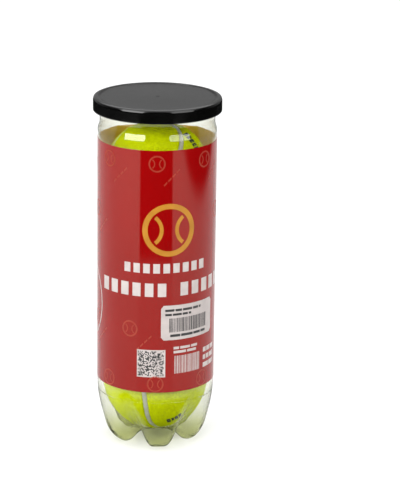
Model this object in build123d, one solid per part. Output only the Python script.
from build123d import *
import os
from math import cos, pi, radians, sin, sqrt

# Tennis ball can, in millimetres, +Z up. The origin is on the floor, on the can's axis.

# Driving dimensions
BALL_R = 33.0
BODY_R = 36.6
WALL = 0.5
MOVING_GAP = 0.3
# How far a cutting solid reaches past what it cuts.
MARGIN = 1.0
# The side that faces the viewer, as an angle about Z.
FRONT = -90

# Balls
FELT = 3.1
CORE_WALL = 3.5
SEAM_WIDTH = 2.6
SEAM_DEPTH = 0.8
SEAM_CLEAR = 0.1
# The seam's shape: a large circle with a smaller three-fold wave on it, which add up to 1.
SEAM_LARGE = 0.75
SEAM_SMALL = 0.25
SEAM_POINTS = 72
SMALL_TURN = 0.0001
BALL_COUNT = 3
BALL_GAP = 0.2
BALL_TURNS = ((20, 10, 35), (75, 0, 120), (-30, 25, 200))
BALL_SPINS = (-48, 0, 0)

# Base with five feet
FOOT_COUNT = 5
FOOT_TURN = 6.0
DOME_BOTTOM = 5.7
FOOT_PAD_R = 24.5
FOOT_PAD_INNER_R = 18.5
GROOVE_SLOPE = 0.41
GROOVE_BELOW = 3.0
GROOVE_APEX = ((0.0, 9.0), (20.8, 18.3), (44.0, 51.0))
FOOT_OUTLINE = ((35.9, 30.0), (34.7, 23.0), (33.0, 16.0), (31.0, 9.0), (28.0, 2.8))
FOOT_ARCH_R = 9.0
FOOT_ARCH_Z = 9.5

# Neck and mouth
SHOULDER_Z = 199.8
NECK_Z = 204.4
NECK_R = 35.4
FLANGE_Z = 214.4
FLANGE_R = 37.4
FLANGE_THICK = 0.6

# Label and price sticker
LABEL_BOTTOM = 41.1
LABEL_TOP = 194.8
LABEL_THICK = 0.15
STICKER_BOTTOM = 75.0
STICKER_TOP = 97.3
STICKER_AZIMUTH = -54.5
STICKER_WIDTH = 37.4
STICKER_THICK = 0.2
STICKER_CORNER = 2.0

# Metal end: seamed ring, tear-off panel and pull tab
SHEET = 0.5
RING_R = 38.15
RING_TOP = 216.4
RING_SKIRT_Z = 213.2
RING_HOOK_R = 36.9
RING_LEG_R = 34.85
APERTURE_R = 33.7
GASKET_GAP = 0.15
PANEL_Z = 212.3
PANEL_R = 33.6
RIVET_R = 1.6
RIVET_HEAD_R = 2.6
RIVET_HEAD = 0.6
TONGUE_THICK = 0.7
TONGUE_CORNER = 1.0
TAB_THICK = 0.8
TAB_LIFT = 0.1
TAB_WIDTH = 16.0
TAB_LENGTH = 27.0
TAB_CORNER = 7.0
TAB_NOSE_Y = 31.0
WINDOW_START = 3.0
WINDOW_LENGTH = 8.5
WINDOW_WIDTH = 9.0
WINDOW_CORNER = 1.2
TONGUE_GAP = 0.5
FINGER_R = 5.0
FINGER_AT = 19.5

# Overcap
CAP_R = 39.5
CAP_TOP = 220.2
CAP_BOTTOM = 211.6
CAP_WALL = 1.0
CAP_RIM_R = 36.1
CAP_RIM_HEIGHT = 0.5
CAP_ROUND = 1.8
BEAD_Z = 212.0
BEAD_HEIGHT = 0.8
BEAD_R = 38.3
GATE_R = 1.2
GATE_HEIGHT = 0.3

# Worked out from the above
CORE_R = BALL_R - FELT
INNER_R = BODY_R - WALL
DOME_Z = DOME_BOTTOM + BODY_R
FIRST_BALL_Z = DOME_Z - INNER_R + MOVING_GAP + BALL_R
BALL_PITCH = 2 * BALL_R + BALL_GAP
TONGUE_WIDTH = WINDOW_WIDTH - 2 * TONGUE_GAP
TONGUE_LENGTH = WINDOW_LENGTH - 2 * TONGUE_GAP
PANEL_TOP = PANEL_Z + SHEET
TONGUE_Y = TAB_NOSE_Y - WINDOW_START - WINDOW_LENGTH / 2


def ring(inner, outer, bottom, top):
    """A plain ring about the Z axis."""
    low = (Align.CENTER, Align.CENTER, Align.MIN)
    tube = Cylinder(outer, top - bottom, align=low) - Cylinder(inner, top - bottom, align=low)
    return Pos(0, 0, bottom) * tube


def disc(radius, bottom, top):
    """A plain disc about the Z axis."""
    return Pos(0, 0, bottom) * Cylinder(radius, top - bottom, align=(Align.CENTER, Align.CENTER, Align.MIN))


def revolved(points):
    """A closed outline of straight lines in the XZ plane, turned about Z."""
    outline = make_face(Polyline(*[(r, 0, z) for r, z in points], close=True))
    return revolve(outline, axis=Axis.Z)


# ---- Can body ----


def foot_envelope(offset):
    """The feet before the grooves part them, drawn in by offset."""
    start = (BODY_R - offset, DOME_Z)
    pad_outer = (FOOT_PAD_R, offset)
    side = [start] + [(r - offset, max(z, 2 * offset)) for r, z in FOOT_OUTLINE] + [pad_outer]
    with BuildPart() as feet:
        with BuildSketch(Plane.XZ):
            with BuildLine():
                Spline(*side, tangents=((0, -1), (-1, 0)))
                Polyline(
                    pad_outer,
                    (FOOT_PAD_INNER_R + offset, offset),
                    (FOOT_ARCH_R, FOOT_ARCH_Z),
                    (0, FOOT_ARCH_Z),
                    (0, DOME_Z),
                    start,
                )
            make_face()
        revolve(axis=Axis.Z)
    return feet.part


def valley(grow):
    """The V-shaped groove between two feet, along +X, widened by grow on each side."""
    rise = grow * sqrt(1 + GROOVE_SLOPE**2) / GROOVE_SLOPE
    sections = []
    for radius, height in GROOVE_APEX:
        apex = height + rise
        half = GROOVE_SLOPE * (apex + GROOVE_BELOW)
        corners = [(radius, -half, -GROOVE_BELOW), (radius, half, -GROOVE_BELOW), (radius, 0, apex)]
        sections.append(Wire.make_polygon([Vector(*corner) for corner in corners], close=True))
    return Solid.make_loft(sections, ruled=True)


def filled_base(offset):
    """The solid that the base's outer or inner surface bounds, up to the straight wall."""
    feet = foot_envelope(offset)
    step = 360 / FOOT_COUNT
    for index in range(FOOT_COUNT):
        azimuth = FRONT + FOOT_TURN + step * (index + 0.5)
        feet -= Rotation(0, 0, azimuth) * valley(offset)
    radius = BODY_R - offset
    lower_side = Pos(0, 0, -radius) * Box(3 * radius, 3 * radius, 2 * radius)
    return feet + Pos(0, 0, DOME_Z) * (Sphere(radius) & lower_side)


def can_body():
    base = filled_base(0) - filled_base(WALL)
    neck_inner = NECK_R - WALL
    tube = revolved(
        [
            (INNER_R, DOME_Z),
            (BODY_R, DOME_Z),
            (BODY_R, SHOULDER_Z),
            (NECK_R, NECK_Z),
            (NECK_R, FLANGE_Z),
            (FLANGE_R, FLANGE_Z),
            (FLANGE_R, FLANGE_Z + FLANGE_THICK),
            (neck_inner, FLANGE_Z + FLANGE_THICK),
            (neck_inner, NECK_Z),
            (INNER_R, SHOULDER_Z),
        ]
    )
    return base + tube


# ---- Label and sticker ----


def label():
    return ring(BODY_R, BODY_R + LABEL_THICK, LABEL_BOTTOM, LABEL_TOP)


def price_sticker():
    surface = BODY_R + LABEL_THICK
    height = STICKER_TOP - STICKER_BOTTOM
    outward = Vector(cos(radians(STICKER_AZIMUTH)), sin(radians(STICKER_AZIMUTH)), 0)
    face_plane = Plane(
        origin=(0, 0, STICKER_BOTTOM + height / 2),
        x_dir=Vector(-outward.Y, outward.X, 0),
        z_dir=outward,
    )
    outline = face_plane * RectangleRounded(STICKER_WIDTH, height, STICKER_CORNER)
    punch = extrude(outline, amount=2 * BODY_R)
    return ring(surface, surface + STICKER_THICK, STICKER_BOTTOM - MARGIN, STICKER_TOP + MARGIN) & punch


# ---- Balls ----


def seam_point(turn):
    """A point of the seam's centre line on a ball of radius 1, for an angle from 0 to a full turn."""
    x = SEAM_LARGE * cos(turn) + SEAM_SMALL * cos(3 * turn)
    y = SEAM_LARGE * sin(turn) - SEAM_SMALL * sin(3 * turn)
    return Vector(x, y, 2 * sqrt(SEAM_LARGE * SEAM_SMALL) * sin(2 * turn))


def seam_edge(radius, side):
    """One edge of the seam at the given radius, half a seam's width to one side of its centre."""
    points = []
    for index in range(SEAM_POINTS):
        turn = 2 * pi * index / SEAM_POINTS
        centre = seam_point(turn)
        along = (seam_point(turn + SMALL_TURN) - seam_point(turn - SMALL_TURN)).normalized()
        across = centre.cross(along)
        points.append((centre + across * (side * SEAM_WIDTH / 2 / BALL_R)).normalized() * radius)
    return Edge.make_spline(points, periodic=True)


def seam_band(inner, outer):
    """The closed band that follows the seam round the ball, between two radii."""
    left_inner = seam_edge(inner, -1)
    left_outer = seam_edge(outer, -1)
    right_inner = seam_edge(inner, 1)
    right_outer = seam_edge(outer, 1)
    sides = [
        (left_inner, left_outer),
        (right_inner, right_outer),
        (left_outer, right_outer),
        (left_inner, right_inner),
    ]
    return Solid(Shell([Face.make_surface_from_curves(first, second) for first, second in sides]))


def ball_pieces():
    """One ball about the origin, as named pieces."""
    core = Sphere(CORE_R) - Sphere(CORE_R - CORE_WALL)
    reach = 2 * BALL_R
    upper_half = Pos(0, 0, reach / 2) * Box(reach, reach, reach)
    # The sphere's own poles are turned away from the seam.
    cover = Rotation(90, 0, 0) * (Sphere(BALL_R) - Sphere(CORE_R))
    felt = cover - seam_band(CORE_R - MARGIN, BALL_R + MARGIN)
    panels = sorted(felt.solids(), key=lambda panel: panel.center().Z)
    return {
        "core_lower_half": core - upper_half,
        "core_upper_half": core & upper_half,
        "felt_panel_a": panels[0],
        "felt_panel_b": panels[1],
        "seam": seam_band(CORE_R + SEAM_CLEAR, BALL_R - SEAM_DEPTH),
    }


# ---- Metal end ----


def end_ring():
    crown = ring(RING_LEG_R - SHEET, RING_R, RING_TOP - SHEET, RING_TOP)
    outer_leg = ring(RING_R - SHEET, RING_R, RING_SKIRT_Z, RING_TOP)
    hook = ring(RING_HOOK_R, RING_R, RING_SKIRT_Z, RING_SKIRT_Z + SHEET)
    inner_leg = ring(RING_LEG_R - SHEET, RING_LEG_R, PANEL_Z, RING_TOP)
    lip = ring(APERTURE_R, RING_LEG_R, PANEL_Z, PANEL_TOP)
    return crown + outer_leg + hook + inner_leg + lip


def seam_gasket():
    return ring(RING_LEG_R + GASKET_GAP, FLANGE_R, FLANGE_Z + FLANGE_THICK, RING_TOP - SHEET)


def end_panel():
    pin_top = PANEL_TOP + TONGUE_THICK
    pin = Pos(0, TONGUE_Y, 0) * disc(RIVET_R, PANEL_Z, pin_top)
    head = Pos(0, TONGUE_Y, 0) * disc(RIVET_HEAD_R, pin_top, pin_top + RIVET_HEAD)
    return disc(PANEL_R, PANEL_Z, PANEL_TOP) + pin + head


def tab_tongue():
    """The flat island of the tab that the rivet holds."""
    plate = extrude(RectangleRounded(TONGUE_WIDTH, TONGUE_LENGTH, TONGUE_CORNER), amount=TONGUE_THICK)
    hole = Pos(0, TONGUE_Y, 0) * disc(RIVET_R, PANEL_TOP - MARGIN, PANEL_TOP + TONGUE_THICK + MARGIN)
    return Pos(0, TONGUE_Y, PANEL_TOP) * plate - hole


def pull_tab():
    """The tab's ring, with a round nose edge that it turns about."""
    bottom = PANEL_TOP + TAB_LIFT
    nose_radius = TAB_THICK / 2
    flat = TAB_LENGTH - nose_radius
    nose_y = TAB_NOSE_Y - nose_radius
    outline = RectangleRounded(TAB_WIDTH, flat, TAB_CORNER)
    square_nose = Pos(0, flat / 4) * Rectangle(TAB_WIDTH, flat / 2)
    tab = extrude(Pos(0, nose_y - flat / 2) * (outline + square_nose), amount=TAB_THICK)
    window = Pos(0, TONGUE_Y) * RectangleRounded(WINDOW_WIDTH, WINDOW_LENGTH, WINDOW_CORNER)
    finger_hole = Pos(0, TAB_NOSE_Y - FINGER_AT) * Circle(FINGER_R)
    tab -= extrude(window, amount=TAB_THICK)
    tab -= extrude(finger_hole, amount=TAB_THICK)
    nose = Pos(0, nose_y, nose_radius) * Rotation(0, 90, 0) * Cylinder(nose_radius, TAB_WIDTH)
    return Pos(0, 0, bottom) * (tab + nose)


# ---- Overcap ----


def overcap():
    plate_top = CAP_TOP - CAP_RIM_HEIGHT
    cap = revolved(
        [
            (0, plate_top - CAP_WALL),
            (CAP_R - CAP_WALL, plate_top - CAP_WALL),
            (CAP_R - CAP_WALL, CAP_BOTTOM),
            (CAP_R, CAP_BOTTOM),
            (CAP_R, CAP_TOP - CAP_ROUND),
            (CAP_R - CAP_ROUND, CAP_TOP),
            (CAP_RIM_R, CAP_TOP),
            (CAP_RIM_R, plate_top),
            (0, plate_top),
        ]
    )
    bead = ring(BEAD_R, CAP_R - CAP_WALL, BEAD_Z, BEAD_Z + BEAD_HEIGHT)
    gate = disc(GATE_R, plate_top, plate_top + GATE_HEIGHT)
    return cap + bead + gate


def all_pieces():
    pieces = {
        "can_body": can_body(),
        "label": label(),
        "price_sticker": price_sticker(),
        "end_ring": end_ring(),
        "seam_gasket": seam_gasket(),
        "end_panel": end_panel(),
        "tab_tongue": tab_tongue(),
        "pull_tab": pull_tab(),
        "overcap": overcap(),
    }
    ball = ball_pieces()
    for index in range(BALL_COUNT):
        height = FIRST_BALL_Z + index * BALL_PITCH
        place = Pos(0, 0, height) * Rotation(0, 0, BALL_SPINS[index]) * Rotation(*BALL_TURNS[index])
        for name, piece in ball.items():
            pieces[f"ball_{index + 1}_{name}"] = place * piece
    return pieces


os.makedirs("parts", exist_ok=True)
for node, piece in all_pieces().items():
    export_step(piece, f"parts/{node}.step")
